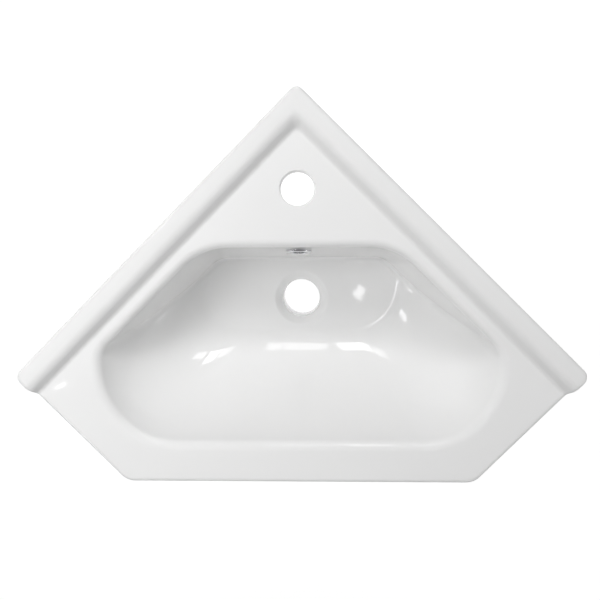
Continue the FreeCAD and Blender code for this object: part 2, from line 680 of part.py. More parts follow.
def make_fixing_collar(name, side):
    """Nylon collar in a wall-fixing hole, flanged against the inner face of the china. Side is
    1 on the right wall and -1 on the left one; local Z points into the wall."""
    body = doc.addObject("PartDesign::Body", name)
    barrel = "Sizes.fixing_hole_radius - Sizes.collar_clearance"
    revolved(body, "collar", [
        ("Sizes.collar_bore_radius", "-Sizes.flange_thickness - Sizes.collar_flange"),
        ("Sizes.collar_flange_radius", "-Sizes.flange_thickness - Sizes.collar_flange"),
        ("Sizes.collar_flange_radius", "-Sizes.flange_thickness"),
        (barrel, "-Sizes.flange_thickness"),
        (barrel, "-Sizes.collar_setback"),
        ("Sizes.collar_bore_radius", "-Sizes.collar_setback")])
    outward = Vector(side * ROOT_HALF, ROOT_HALF, 0)
    up = Vector(0, 0, 1)
    body.Placement = Placement(Vector(0, 0, 0), Rotation(up.cross(outward), up, outward, "ZYX"))
    body.setExpression(".Placement.Base.x", f"{side} * Sizes.fixing_along * sqrt(0.5)")
    body.setExpression(".Placement.Base.y", "-Sizes.fixing_along * sqrt(0.5)")
    body.setExpression(".Placement.Base.z", "-Sizes.fixing_drop")
    return body


def check(parts):
    """Every object recomputed without fault and every sub-part is one valid solid."""
    doc.recompute()
    for thing in doc.Objects:
        if "Invalid" in thing.State or "Error" in thing.State:
            raise RuntimeError(f"{thing.Label} is {thing.State}")
    for part in parts:
        shape = part.Shape
        if shape.isNull() or not shape.isValid() or len(shape.Solids) != 1:
            raise RuntimeError(f"{part.Label} is not one valid solid")


fill_sheet()
basin_body = make_basin_body()
PARTS = [
    basin_body,
    make_overflow_duct(basin_body),
    make_overflow_ring(),
    make_overflow_sleeve(),
    make_fixing_collar("fixing_sleeve_left", -1),
    make_fixing_collar("fixing_sleeve_right", 1),
]
check(PARTS)
os.makedirs("parts", exist_ok=True)
for part in PARTS:
    part.Shape.exportStep(f"parts/{part.Label}.step")
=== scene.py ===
import math

import bmesh
import bpy
import numpy as np
from mathutils import Matrix, Vector


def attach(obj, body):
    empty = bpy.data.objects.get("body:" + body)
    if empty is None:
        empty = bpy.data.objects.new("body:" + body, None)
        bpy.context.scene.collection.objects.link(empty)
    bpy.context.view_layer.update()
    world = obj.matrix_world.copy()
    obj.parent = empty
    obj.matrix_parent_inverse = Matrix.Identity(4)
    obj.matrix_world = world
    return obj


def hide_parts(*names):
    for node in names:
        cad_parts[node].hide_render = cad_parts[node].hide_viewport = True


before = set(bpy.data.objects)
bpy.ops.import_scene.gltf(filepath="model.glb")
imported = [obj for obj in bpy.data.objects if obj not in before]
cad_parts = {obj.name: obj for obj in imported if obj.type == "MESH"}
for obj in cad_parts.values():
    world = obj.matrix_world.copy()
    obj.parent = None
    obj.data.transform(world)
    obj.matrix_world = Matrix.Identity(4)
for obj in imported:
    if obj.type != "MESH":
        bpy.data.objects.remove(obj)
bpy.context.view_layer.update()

# ---------------------------------------------------------------- camera
# It looks almost straight down on the basin from 0.7 m above the deck, a little right of its
# middle, as the photograph does.
camera_data = bpy.data.cameras.new("camera")
camera = bpy.data.objects.new("camera", camera_data)
bpy.context.scene.collection.objects.link(camera)
bpy.context.scene.camera = camera
camera_data.lens = 41.03
camera_data.sensor_width = 36
tilt = Matrix.Rotation(math.radians(3.725), 3, "X")
roll = Matrix.Rotation(math.radians(-2.078), 3, "Y")
turn = Matrix.Rotation(math.radians(0.193), 3, "Z")
camera.matrix_world = Matrix.Translation((0.0276, -0.1711, 0.7005)) @ (
    turn @ roll @ tilt).transposed().to_4x4()

# ---------------------------------------------------------------- china
# The basin itself, one casting of glazed vitreous china: a flat deck with a raised ledge along
# both walls, a deep trapezoid bowl with a dished waste, a low apron at the front and tall flanges
# that hang on the walls. Sizes are in millimetres here, with the deck at z = 0.
MM = 0.001
ROOT_HALF = math.sqrt(0.5)
EIGHTH = math.tan(math.pi / 8)
HALF_SPAN = 295  # from the middle to a wall tip
DEPTH_OUT = 408  # from the corner of the walls to the front edge
WALL_LENGTH = HALF_SPAN / ROOT_HALF
UNDERSIDE = -13  # of the deck
EDGE_R = 4
CORNER_R, TIP_R, FRONT_R = 8, 10, 20
FLANGE_FOOT, APRON_FOOT = -122, -46
SLOPE_START, SLOPE_END = 235, 325  # along the wall, where the foot rises from flange to apron
BOWL_DEPTH = 104
CHINA = 9  # thickness of the bowl
RIM_BACK, RIM_GAP, RIM_SIDE, RIM_FRONT = 162, 43.3, 209, 366.5  # rim, before it is rounded
BACK_CORNER_R, SIDE_CORNER_R = (70, 30), (30, 18)  # at the rim, and at the floor
BOWL_LEAN = math.radians(6.4)
BOWL_FOOT = 5.5
FLOOR_FRONT, FLOOR_SIDE = 257.6, 114.9
WASTE_Y, WASTE_R = -220.53, 21.5
TAP_Y, TAP_R = -103, 17.5
FIXING_ALONG, FIXING_Z, FIXING_R = 190, -88, 8


def rounded(corners, radii, steps):
    """Points of a line through corners, each corner turned into an arc of its radius. With unit
    vectors p and q from the corner to its neighbours, 2h apart, the arc starts r / tan(h) along
    p, ends as far along q, and has its centre r / sin(h) along p + q."""
    points = [np.array(corners[0], float)]
    for before, corner, after, radius in zip(corners, corners[1:], corners[2:], radii):
        corner = np.array(corner, float)
        p = (before - corner) / np.linalg.norm(before - corner)
        q = (after - corner) / np.linalg.norm(after - corner)
        half = math.acos(p @ q) / 2
        centre = corner + (p + q) / np.linalg.norm(p + q) * radius / math.sin(half)
        first = corner + p * radius / math.tan(half) - centre
        last = corner + q * radius / math.tan(half) - centre
        turn = math.pi - 2 * half
        share = np.linspace(0, 1, steps + 1)[:, None]
        points.extend(centre + (first * np.sin((1 - share) * turn)
                                + last * np.sin(share * turn)) / math.sin(turn))
    return np.array(points + [np.array(corners[-1], float)])


def half_section(depth, wall):
    """Right half of the bowl's level section, from the middle of its back to the middle of its
    front: back edge, arc, edge parallel to the wall, arc, side, large arc, front edge. The back
    edges come in by depth * tan(lean), then turn into the floor on a small arc. Side and front
    come in by the share 1 - (1 - u ** 1.3) ** 0.714 of their run, where u = depth / bowl depth.
    wall moves the whole section outwards."""
    u = depth / BOWL_DEPTH
    run = 1 - max(0.0, 1 - u ** 1.3) ** 0.714
    left = BOWL_DEPTH - depth
    inset = depth * math.tan(BOWL_LEAN)
    touch = BOWL_DEPTH - BOWL_FOOT * (1 - math.sin(BOWL_LEAN))
    if depth > touch:
        turned = math.asin(1 - left / BOWL_FOOT)
        inset = touch * math.tan(BOWL_LEAN) + BOWL_FOOT * (math.cos(BOWL_LEAN) - math.cos(turned))
    back = RIM_BACK + inset - wall
    gap = (RIM_GAP + inset - wall) / ROOT_HALF
    side = RIM_SIDE + (FLOOR_SIDE - RIM_SIDE) * run + wall
    front = RIM_FRONT + (FLOOR_FRONT - RIM_FRONT) * run + wall
    back_r = BACK_CORNER_R[0] + (BACK_CORNER_R[1] - BACK_CORNER_R[0]) * u
    side_r = SIDE_CORNER_R[0] + (SIDE_CORNER_R[1] - SIDE_CORNER_R[0]) * u
    back_x = back - gap - back_r * EIGHTH
    level = side + gap + side_r * EIGHTH
    front_r = front - level - 3

    def line(x0, y0, x1, y1, count):
        """Points at equal steps from one end of a line, without its last."""
        share = np.linspace(0, 1, count, endpoint=False)
        return np.stack([x0 + (x1 - x0) * share, y0 + (y1 - y0) * share], 1)

    def arc(x, y, radius, start, end, count):
        """Points at equal steps of angle, in degrees, round a centre, without the last."""
        angle = np.radians(np.linspace(start, end, count, endpoint=False))
        return np.stack([x + radius * np.cos(angle), y + radius * np.sin(angle)], 1)

    cut = 1 - ROOT_HALF
    return np.concatenate([
        line(0, -back, back_x, -back, 26),
        arc(back_x, -back - back_r, back_r, 90, 45, 20),
        line(back_x + back_r * ROOT_HALF, -back - back_r * cut,
             side - side_r * cut, side_r * ROOT_HALF - level, 32),
        arc(side - side_r, -level, side_r, 45, 0, 14),
        line(side, -level, side, -level - 3, 2),
        arc(side - front_r, front_r - front, front_r, 0, -90, 44),
        line(side - front_r, -front, 0, -front, 26),
        [(0, -front)]])


def section(depth, wall=0):
    """The whole level section as a ring of points; wall moves it outwards and down."""
    half = half_section(depth, wall)
    ring = np.concatenate([half, half[-2:0:-1] * (-1, 1)])
    return np.column_stack([ring, np.full(len(ring), -depth - wall)])


def turn_over(edge, below, plane, steps):
    """Rings that round the corner between a level plane and the wall under it. The wall's
    tangent at its ring edge meets the plane at b; the rounding starts as far outwards from b as
    edge lies below it, and is the rational quadratic arc with the cosine of half its turn as
    weight. The first ring lies 0.8 mm further out on the plane."""
    slope = (edge - below) / (edge[:, 2:] - below[:, 2:])
    b = edge + slope * (plane - edge[:, 2:])
    along = np.roll(b, -1, 0) - np.roll(b, 1, 0)
    out = np.column_stack([-along[:, 1], along[:, 0], np.zeros(len(b))])
    out /= np.linalg.norm(out, axis=1)[:, None]
    reach = np.linalg.norm(b - edge, axis=1)[:, None]
    start = b + out * reach
    cosine = -np.sum(out * (edge - b), 1)[:, None] / reach
    weight = np.sqrt((1 + cosine) / 2)
    rings = [start + out * 0.8]
    for t in np.linspace(0, 1, steps + 1):
        shares = (1 - t) ** 2, 2 * t * (1 - t) * weight, t ** 2
        rings.append((shares[0] * start + shares[1] * b + shares[2] * edge) / sum(shares))
    return rings


def blend_rings(first, last):
    """Five rings between two, for a flat zone."""
    return [first + (last - first) * share for share in (0.12, 0.3, 0.5, 0.7, 0.88)]


def bowl_rings():
    """Rings from the deck over the rim, down the bowl, through the waste hole, round the boss
    under it and up the outside of the bowl to the underside of the deck."""
    turns = np.linspace(BOWL_LEAN, math.pi / 2, 9)
    foot = BOWL_DEPTH - BOWL_FOOT * (1 - np.sin(turns))
    depths = np.concatenate([np.linspace(7, foot[0], 44)[:-1], foot])
    rings = turn_over(section(7), section(7.5), 0, 9)
    rings += [section(depth) for depth in depths[1:]]
    floor = rings[-1]
    spoke = floor[:, :2] - (0, WASTE_Y)
    spoke /= np.linalg.norm(spoke, axis=1)[:, None]
    corners = [(33.3, -104), (31, -104), (23.5, -108), (WASTE_R, -108), (WASTE_R, -158),
               (38, -158), (38, -113), (42.6, -113)]
    circles = [np.column_stack([spoke * radius + (0, WASTE_Y), np.full(len(spoke), z)])
               for radius, z in rounded(corners, [6, 3, 1, 1.5, 2.5, 4], 6)]
    rings += blend_rings(floor, circles[0]) + circles
    outside = [section(depth, CHINA) for depth in depths[:1:-1]]
    rings += blend_rings(circles[-1], outside[0]) + outside
    rings += turn_over(outside[-1], outside[-2], UNDERSIDE, 5)[::-1][1:]
    return np.array(rings)


TURNS = 14
LEDGE = rounded([(0, 13), (20.8, 13), (28.31, 0), (40, 0)], [11, 5], TURNS)
CREST, LEDGE_FOOT = LEDGE[1:TURNS + 2, 0], LEDGE[TURNS + 2:-1, 0]
BORDER = 32.8
CORNER_END = 39.6
EDGE_STEPS = EDGE_R * (1 - np.cos(np.radians(np.arange(0, 91, 15))))
STATIONS = np.concatenate([EDGE_STEPS, [7, 10, 13], CREST,
                           np.linspace(CREST[-1], LEDGE_FOOT[0], 6)[1:-1], LEDGE_FOOT,
                           [LEDGE_FOOT[-1] + 0.8, BORDER]])


def height(from_wall, from_edge):
    """Height of the deck: the ledge's profile, less the drop of the rounded top edge."""
    drop = EDGE_R - np.sqrt(EDGE_R ** 2 - np.clip(EDGE_R - from_edge, 0, EDGE_R) ** 2)
    return np.interp(from_wall, LEDGE[:, 0], LEDGE[:, 1]) - drop


def round_corner(a, w, radius):
    """Bends the lines of a square grid that run t from its two outer sides round an arc of
    radius - t, and gives t as well."""
    t = np.minimum(a, w)
    inside = (a < radius) & (w < radius)
    arc = np.where(inside, radius - t, 1)
    share = np.where(a <= w, (radius - w) / (2 * arc), 1 - (radius - a) / (2 * arc))
    angle = math.pi * (1 + share / 2)
    return (np.where(inside, radius + arc * np.cos(angle), a),
            np.where(inside, radius + arc * np.sin(angle), w), t)


def by_wall(a, w, z):
    """Points a along the right wall from the corner, and w in front of the wall."""
    return np.stack([(a - w) * ROOT_HALF, -(a + w) * ROOT_HALF, z], -1)


def deck_border():
    """Grids of points of the deck's border with its ledge, and the outline that they share with
    the sides. In the corner, lines t from the walls meet on a radius of 8 mm: there the distance
    from the wall is m - 8 + sqrt(32 - d * d), where m is the mean of both distances and d half
    their difference."""
    square = np.concatenate([STATIONS, np.linspace(BORDER, CORNER_END, 5)[1:]])
    a, w = np.meshgrid(square, square, indexing="ij")
    a, w, edge = round_corner(a, w, CORNER_R)
    apart = np.clip((a - w) / 2, -4, 4)
    both = (a + w) / 2 - 8 + np.sqrt(32 - apart ** 2)
    from_wall = np.where(np.abs(a - w) < 8, both, np.minimum(a, w))
    inner_corner = by_wall(a, w, height(from_wall, edge))
    along = np.concatenate([np.linspace(CORNER_END, SLOPE_START, 14),
                            np.linspace(SLOPE_START, SLOPE_END, 7)[1:],
                            np.linspace(SLOPE_END, WALL_LENGTH - BORDER, 6)[1:]])
    a, w = np.meshgrid(along, STATIONS, indexing="ij")
    wall = by_wall(a, w, height(w, w))
    e, w = np.meshgrid(STATIONS, STATIONS, indexing="ij")
    e, w, edge = round_corner(e, w, TIP_R)
    tip = by_wall(WALL_LENGTH - e, w, height(w, edge))
    near = STATIONS[:9]
    off_wall = 99  # anywhere that the ledge doesn't reach
    end_length = (DEPTH_OUT - HALF_SPAN) / ROOT_HALF - FRONT_R * EIGHTH
    e, w = np.meshgrid(near, np.linspace(BORDER, end_length, 12), indexing="ij")
    end = by_wall(WALL_LENGTH - e, w, height(w, e))
    front_x = 2 * HALF_SPAN - DEPTH_OUT - FRONT_R * EIGHTH
    angle, e = np.meshgrid(np.radians(np.linspace(-45, -90, 10)), near)
    corner = np.stack([front_x + (FRONT_R - e) * np.cos(angle),
                       FRONT_R - DEPTH_OUT + (FRONT_R - e) * np.sin(angle),
                       height(off_wall, e)], -1)
    x, e = np.meshgrid(np.linspace(front_x, -front_x, 36), near)
    front = np.stack([x, e - DEPTH_OUT, height(off_wall, e)], -1)
    half = [wall, tip, end, corner]
    line = np.concatenate([inner_corner[:-1, 0], wall[:-1, 0], tip[:0:-1, 0], tip[0, :-1],
                           end[0, :-1], corner[0, :-1]])
    outline = np.concatenate([line, front[0], line[:0:-1] * (-1, 1, 1)])
    mirrored = [patch * (-1, 1, 1) for patch in half]
    return [inner_corner, front] + half + mirrored, outline


def skirt(outline):
    """Flanges and apron under the outline: outer face, rounded foot, inner face and a fillet
    up to the underside of the deck, as one grid with a column for each point of the outline. The
    foot is low along the walls, and rises in a straight slope to the apron's. Outer points step
    in along the normal of the outline. Inner corners are sharp: there the inset point is
    (max(a, t), max(w, t)) along and off the wall."""
    flange, apron = 11, 9
    foot_r, fillet = 2.5, 3
    beyond_tip = 140  # off the wall, from where the outline is the front's
    quarter = np.radians([18, 36, 54, 72, 90])
    x, y = np.abs(outline[:, 0]), outline[:, 1]
    a, w = (x - y) * ROOT_HALF, -(x + y) * ROOT_HALF
    side = np.where(outline[:, 0] < 0, -1, 1)
    on_wall = np.interp(a, [SLOPE_START, SLOPE_END], [FLANGE_FOOT, APRON_FOOT])
    foot = np.where(w < 30, on_wall, APRON_FOOT)
    step_in = outline[:, :2] - np.roll(outline[:, :2], 1, 0)
    step_out = np.roll(step_in, -1, 0)
    before = np.linalg.norm(step_in, axis=1)[:, None]
    after = np.linalg.norm(step_out, axis=1)[:, None]
    tangent = step_in * after / before + step_out * before / after
    tangent /= np.linalg.norm(tangent, axis=1)[:, None]
    inward = np.stack([tangent[:, 1], -tangent[:, 0]], 1)
    rows = []

    def outer(inset, z):
        """Row of the outer face and foot."""
        rows.append(np.column_stack([outline[:, :2] + inward * inset, z]))

    def inner(inset, z):
        """Row of the inner face, mitred at the walls and parallel to the front."""
        off_end = inset - (flange - apron)
        along = np.clip(a, inset, WALL_LENGTH - off_end)
        mitred = by_wall(along, np.maximum(w, inset), z)
        mitred[:, 0] *= side
        straight = outline[:, :2] + inward * off_end
        at_front = w > beyond_tip
        mitred[at_front, :2] = straight[at_front]
        rows.append(mitred)

    for share in np.linspace(0, 1, 7):
        outer(0, outline[:, 2] * (1 - share) + (foot + foot_r) * share)
    for angle in quarter:
        outer(foot_r * (1 - math.cos(angle)), foot + foot_r * (1 - math.sin(angle)))
    for angle in (0, *quarter):
        inner(flange - foot_r * (1 - math.sin(angle)), foot + foot_r * (1 - math.cos(angle)))
    for share in np.linspace(0.2, 1, 5):
        inner(flange, (foot + foot_r) * (1 - share) + (UNDERSIDE - fillet) * share)
    for angle in quarter:
        inner(flange + fillet * (1 - math.cos(angle)),
              UNDERSIDE - fillet * (1 - math.sin(angle)) + 0 * foot)
    inner(flange + fillet + 0.7, UNDERSIDE + 0 * foot)
    return np.array(rows)


def tap_tube():
    """The tap hole as a grid: a profile of radius and height, with its rounded edges and a flat
    ring at both ends, turned about the hole's upright axis."""
    profile = rounded([(20.2, 0), (TAP_R, 0), (TAP_R, UNDERSIDE), (19.6, UNDERSIDE)], [1.6, 1], 6)
    angle = np.linspace(0, 2 * math.pi, 120, endpoint=False)
    radius, z = profile[:, :1], profile[:, 1:]
    return np.stack([radius * np.cos(angle), TAP_Y + radius * np.sin(angle),
                     z + 0 * angle], -1)


def grid_quads(rows, columns, closed):
    """Quads between neighbouring points of a grid that is numbered row by row; closed joins its
    last column to its first."""
    i, j = np.meshgrid(np.arange(rows - 1), np.arange(columns if closed else columns - 1),
                       indexing="ij")
    i, j = i.ravel(), j.ravel()
    beside = (j + 1) % columns
    return np.stack([i * columns + j, i * columns + beside, (i + 1) * columns + beside,
                     (i + 1) * columns + j], 1)


border, outline = deck_border()
grids = [(patch, False) for patch in border]
grids += [(skirt(outline), True), (bowl_rings(), True), (tap_tube(), True)]
points, quads, count = [], [], 0
for grid, closed in grids:
    points.append(grid.reshape(-1, 3) * MM)
    quads.append(grid_quads(*grid.shape[:2], closed) + count)
    count += len(points[-1])
china_mesh = bpy.data.meshes.new("china")
china_mesh.from_pydata(np.concatenate(points), [], np.concatenate(quads).tolist())
shell = bmesh.new()
shell.from_mesh(china_mesh)
bmesh.ops.remove_doubles(shell, verts=shell.verts, dist=0.02 * MM)
for level in (0, UNDERSIDE):
    rim = [edge for edge in shell.edges if edge.is_boundary
           and all(abs(vert.co.z - level * MM) < 0.1 * MM for vert in edge.verts)]
    bmesh.ops.triangle_fill(shell, use_beauty=True, use_dissolve=False, edges=rim,
                            normal=(0, 0, 1))
bmesh.ops.recalc_face_normals(shell, faces=shell.faces)
shell.to_mesh(china_mesh)
shell.free()
china_mesh.shade_smooth()
centres = np.empty(3 * len(china_mesh.polygons), np.float32)
china_mesh.polygons.foreach_get("center", centres)
normals = np.empty_like(centres)
china_mesh.polygons.foreach_get("normal", normals)
x, y, z = centres.reshape(-1, 3).T / MM
# Left unglazed: the foot of the apron and of the outer flanges, the walls of both holes and the
# end of the boss. These get a duller colour that is also darker than bare china is: painted shade
# in the holes.
faces_down = normals[2::3] < -0.3
under_foot = (z < APRON_FOOT + 2.4) & faces_down & (np.abs(x) - y > 300)
in_tap_hole = (z < -1.8) & (np.hypot(x, y - TAP_Y) < TAP_R + 1.2)
in_waste_hole = (z < -110) & (np.hypot(x, y - WASTE_Y) < WASTE_R + 0.1)
end_of_boss = z < -157.9
bare_and_painted_shade = under_foot | in_tap_hole | in_waste_hole | end_of_boss
china_mesh.polygons.foreach_set("material_index", bare_and_painted_shade.astype(np.int32))
china = bpy.data.objects.new("china", china_mesh)
bpy.context.scene.collection.objects.link(china)


def cylinder_between(target, first, last, radius):
    """Closed cylinder of 64 sides between two points, in millimetres."""
    axis = Vector(last) - Vector(first)
    turn = axis.to_track_quat("Z", "Y").to_matrix().to_4x4()
    place = Matrix.Translation((Vector(first) + Vector(last)) / 2 * MM) @ turn
    bmesh.ops.create_cone(target, cap_ends=True, segments=64, radius1=radius * MM,
                          radius2=radius * MM, depth=axis.length * MM, matrix=place)


OVERFLOW_DEPTH, OVERFLOW_R = 31, 12
DUCT_SLOT, SLOT_SIZE = (0, WASTE_Y + 23, -143), (26, 46, 14)  # from the duct to the waste hole
OVERFLOW = np.array((0, -RIM_BACK - OVERFLOW_DEPTH * math.tan(BOWL_LEAN), -OVERFLOW_DEPTH))
OVERFLOW_AXIS = np.array((0, -math.cos(BOWL_LEAN), math.sin(BOWL_LEAN)))
drill = bmesh.new()
cylinder_between(drill, OVERFLOW - 15 * OVERFLOW_AXIS, OVERFLOW + 15 * OVERFLOW_AXIS, OVERFLOW_R)
for side in (-1, 1):
    from_corner = np.array((FIXING_ALONG * ROOT_HALF * side, -FIXING_ALONG * ROOT_HALF, FIXING_Z))
    into_room = np.array((-ROOT_HALF * side, -ROOT_HALF, 0))
    cylinder_between(drill, from_corner - 4 * into_room, from_corner + 16 * into_room, FIXING_R)
slot_place = Matrix.Translation(Vector(DUCT_SLOT) * MM) @ Matrix.Diagonal(
    (*(side * MM for side in SLOT_SIZE), 1))
bmesh.ops.create_cube(drill, size=1, matrix=slot_place)
drill_mesh = bpy.data.meshes.new("china_drill")
drill.to_mesh(drill_mesh)
drill.free()
drill_mesh.shade_smooth()
drill_tool = bpy.data.objects.new("china_drill", drill_mesh)
bpy.context.scene.collection.objects.link(drill_tool)
cut = china.modifiers.new("holes", "BOOLEAN")
cut.object = drill_tool
cut.operation = "DIFFERENCE"
cut.solver = "EXACT"
cut.material_mode = "INDEX"
bpy.context.view_layer.update()
drilled = bpy.data.meshes.new_from_object(
    china.evaluated_get(bpy.context.evaluated_depsgraph_get()))
china.modifiers.clear()
china.data = drilled
drilled.name = "china"
bpy.data.meshes.remove(china_mesh)
bpy.data.objects.remove(drill_tool)
bpy.data.meshes.remove(drill_mesh)
drilled.set_sharp_from_angle(angle=math.radians(32))


def new_material(name, colour, roughness):
    """A principled material and its node tree, with its constants set on the shader itself."""
    material = bpy.data.materials.new(name)
    material.use_nodes = True
    shader = material.node_tree.nodes["Principled BSDF"]
    shader.inputs["Base Color"].default_value = (*colour, 1)
    shader.inputs["Roughness"].default_value = roughness
    return material, material.node_tree, shader


def noise_of(tree, scale, detail=2.0):
    """Noise texture on Object coordinates, with so many features to the metre."""
    place = tree.nodes.new("ShaderNodeTexCoord")
    noise = tree.nodes.new("ShaderNodeTexNoise")
    noise.inputs["Scale"].default_value = scale
    noise.inputs["Detail"].default_value = detail
    tree.links.new(place.outputs["Object"], noise.inputs["Vector"])
    return noise


def ramp_of(tree, source, low, high):
    """Maps a noise to a range of values or colours, over the middle of the noise's range."""
    spread = tree.nodes.new("ShaderNodeMapRange")
    spread.inputs["From Min"].default_value = 0.3
    spread.inputs["From Max"].default_value = 0.7
    spread.inputs["To Min"].default_value = low
    spread.inputs["To Max"].default_value = high
    tree.links.new(source, spread.inputs["Value"])
    return spread.outputs["Result"]


def bump_of(tree, shader, source, strength, height_mm, below=None):
    """Bump from a noise, over another bump where one is given."""
    bump = tree.nodes.new("ShaderNodeBump")
    bump.inputs["Strength"].default_value = strength
    bump.inputs["Distance"].default_value = height_mm * MM
    tree.links.new(source, bump.inputs["Height"])
    if below:
        tree.links.new(below, bump.inputs["Normal"])
    tree.links.new(bump.outputs["Normal"], shader.inputs["Normal"])
    return bump.outputs["Normal"]


glaze, glaze_tree, glaze_shader = new_material("glazed_china", (0.84, 0.84, 0.838), 0.03)
glaze_tone = noise_of(glaze_tree, 9)
tone = glaze_tree.nodes.new("ShaderNodeMix")
tone.data_type = "RGBA"
tone.inputs["A"].default_value = (0.833, 0.833, 0.831, 1)
tone.inputs["B"].default_value = (0.847, 0.847, 0.845, 1)
glaze_tree.links.new(glaze_tone.outputs["Fac"], tone.inputs["Factor"])
glaze_tree.links.new(tone.outputs["Result"], glaze_shader.inputs["Base Color"])
glaze_tree.links.new(ramp_of(glaze_tree, noise_of(glaze_tree, 60).outputs["Fac"], 0.02, 0.04),
                     glaze_shader.inputs["Roughness"])
wave = bump_of(glaze_tree, glaze_shader, noise_of(glaze_tree, 14, 1).outputs["Fac"], 0.3, 1)
bump_of(glaze_tree, glaze_shader, noise_of(glaze_tree, 420, 1).outputs["Fac"], 0.15, 0.02, wave)
# Unglazed china: its duller tone is real, but its darkness is partly painted shade on the hole
# walls.
painted_shade_biscuit, painted_shade_biscuit_tree, painted_shade_biscuit_shader = new_material("unglazed_china_painted_shade", (0.55, 0.54, 0.52), 0.75)
painted_shade_biscuit_shader.inputs["Specular IOR Level"].default_value = 0.1
bump_of(painted_shade_biscuit_tree, painted_shade_biscuit_shader, noise_of(painted_shade_biscuit_tree, 1500, 4).outputs["Fac"], 0.5, 0.15)
china.data.materials.clear()
china.data.materials.append(glaze)
china.data.materials.append(painted_shade_biscuit)
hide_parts("basin_body")
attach(china, "root")

# ---------------------------------------------------------------- overflow ring
# A turned brass ring with a domed flange and two upright bars, polished and chromium plated. It
# is pushed into the overflow hole from the bowl.


def turned_shell(profile, sides, place):
    """Closed shell of a profile of radius and height, turned about Z and then placed: the point
    (r, z) goes to (r cos a, r sin a, z) for each angle a. Gives points and quads."""
    angle = np.linspace(0, 2 * math.pi, sides, endpoint=False)
    radius, level = profile[:, :1], profile[:, 1:]
    points = np.stack([radius * np.cos(angle), radius * np.sin(angle), level + 0 * angle], -1)
    return placed(points.reshape(-1, 3), place), ring_quads(len(profile), sides)


def placed(points, place):
    """Points in millimetres taken to their place, in metres."""
    turn = np.array(place.to_3x3())
    return (points @ turn.T + np.array(place.translation)) * MM


def ring_quads(rings, sides):
    """Quads between neighbouring rings of a closed tube, whose last ring meets its first."""
    i, j = np.meshgrid(np.arange(rings), np.arange(sides), indexing="ij")
    i, j = i.ravel(), j.ravel()
    after, beside = (i + 1) % rings, (j + 1) % sides
    return np.stack([i * sides + j, i * sides + beside, after * sides + beside,
                     after * sides + j], 1)


def upright_bar(middle, half_width, low, high, reach, place):
    """A bar with rounded edges along Y: a superellipse |x| ** 4 + |z| ** 4 = 1 of its width and
    height, carried from -reach to reach, whose two end rings shrink to a cap."""
    angle = np.linspace(0, 2 * math.pi, 28, endpoint=False)
    x = half_width * np.sign(np.cos(angle)) * np.abs(np.cos(angle)) ** 0.5
    z = (high - low) / 2 * np.sign(np.sin(angle)) * np.abs(np.sin(angle)) ** 0.5
    steps = np.concatenate([[-reach, -reach], np.linspace(-reach, reach, 9), [reach, reach]])
    widths = np.array([0.02, 0.6] + [1] * 9 + [0.6, 0.02])[:, None]
    points = np.stack([middle + x * widths, steps[:, None] + 0 * x, (low + high) / 2 + z * widths],
                      -1)
    quads = ring_quads(len(steps), len(angle))[:-len(angle)]
    return placed(points.reshape(-1, 3), place), quads


def new_piece(name, shells, material):
    """One object from several closed shells, shaded smooth with its sharp edges kept."""
    points, quads, count = [], [], 0
    for shell_points, shell_quads in shells:
        points.append(shell_points)
        quads.append(shell_quads + count)
        count += len(shell_points)
    mesh = bpy.data.meshes.new(name)
    mesh.from_pydata(np.concatenate(points), [], np.concatenate(quads).tolist())
    mesh.validate()
    whole = bmesh.new()
    whole.from_mesh(mesh)
    bmesh.ops.holes_fill(whole, edges=[edge for edge in whole.edges if edge.is_boundary])
    bmesh.ops.recalc_face_normals(whole, faces=whole.faces)
    whole.to_mesh(mesh)
    whole.free()
    mesh.shade_smooth()
    mesh.set_sharp_from_angle(angle=math.radians(40))
    mesh.materials.append(material)
    piece = bpy.data.objects.new(name, mesh)
    bpy.context.scene.collection.objects.link(piece)
    return piece


at_overflow = Matrix.Translation(Vector(OVERFLOW)) @ Matrix.Rotation(
    math.pi / 2 - BOWL_LEAN, 4, "X")
RING_BORE, RING_OUT, RING_FACE, BARREL = 10, 13.6, 3, 10.8
BAR_MIDDLE, BAR_HALF_WIDTH, BAR_LOW, BAR_HIGH, BAR_REACH = 7.1, 0.75, -0.9, 1.4, 7.3
ring_profile = rounded([(RING_BORE, -6), (RING_BORE, RING_FACE), (RING_OUT, RING_FACE),
                        (RING_OUT, 0.1), (BARREL, 0.1), (BARREL, -12), (RING_BORE, -12),
                        (RING_BORE, -6.4)], [1.5, 1.6, 0.25, 0.2, 0.3, 0.3], 8)
ring_shells = [turned_shell(ring_profile, 128, at_overflow)]
for middle in (-BAR_MIDDLE, BAR_MIDDLE):
    ring_shells.append(upright_bar(middle, BAR_HALF_WIDTH, BAR_LOW, BAR_HIGH, BAR_REACH,
                                   at_overflow))
chrome, chrome_tree, chrome_shader = new_material("chromium_plate", (0.78, 0.785, 0.8), 0.08)
chrome_shader.inputs["Metallic"].default_value = 1
chrome_tree.links.new(ramp_of(chrome_tree, noise_of(chrome_tree, 300).outputs["Fac"], 0.04, 0.13),
                      chrome_shader.inputs["Roughness"])
bump_of(chrome_tree, chrome_shader, noise_of(chrome_tree, 900, 2).outputs["Fac"], 0.1, 0.02)
ring = new_piece("overflow_ring_plated", ring_shells, chrome)
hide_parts("overflow_ring")
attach(ring, "root")

# ---------------------------------------------------------------- overflow sleeve
# A white plastic sleeve in the hole behind the ring. Four slits let its end spring over the back
# of the china, where a small lip holds it; the ring's barrel is pressed into it.
sleeve_plastic, sleeve_tree, sleeve_shader = new_material("sleeve_plastic", (0.8, 0.8, 0.79), 0.4)
sleeve_tree.links.new(ramp_of(sleeve_tree, noise_of(sleeve_tree, 500).outputs["Fac"], 0.33, 0.5),
                      sleeve_shader.inputs["Roughness"])
bump_of(sleeve_tree, sleeve_shader, noise_of(sleeve_tree, 1200, 3).outputs["Fac"], 0.25, 0.03)
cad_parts["overflow_sleeve"].material_slots[0].material = sleeve_plastic

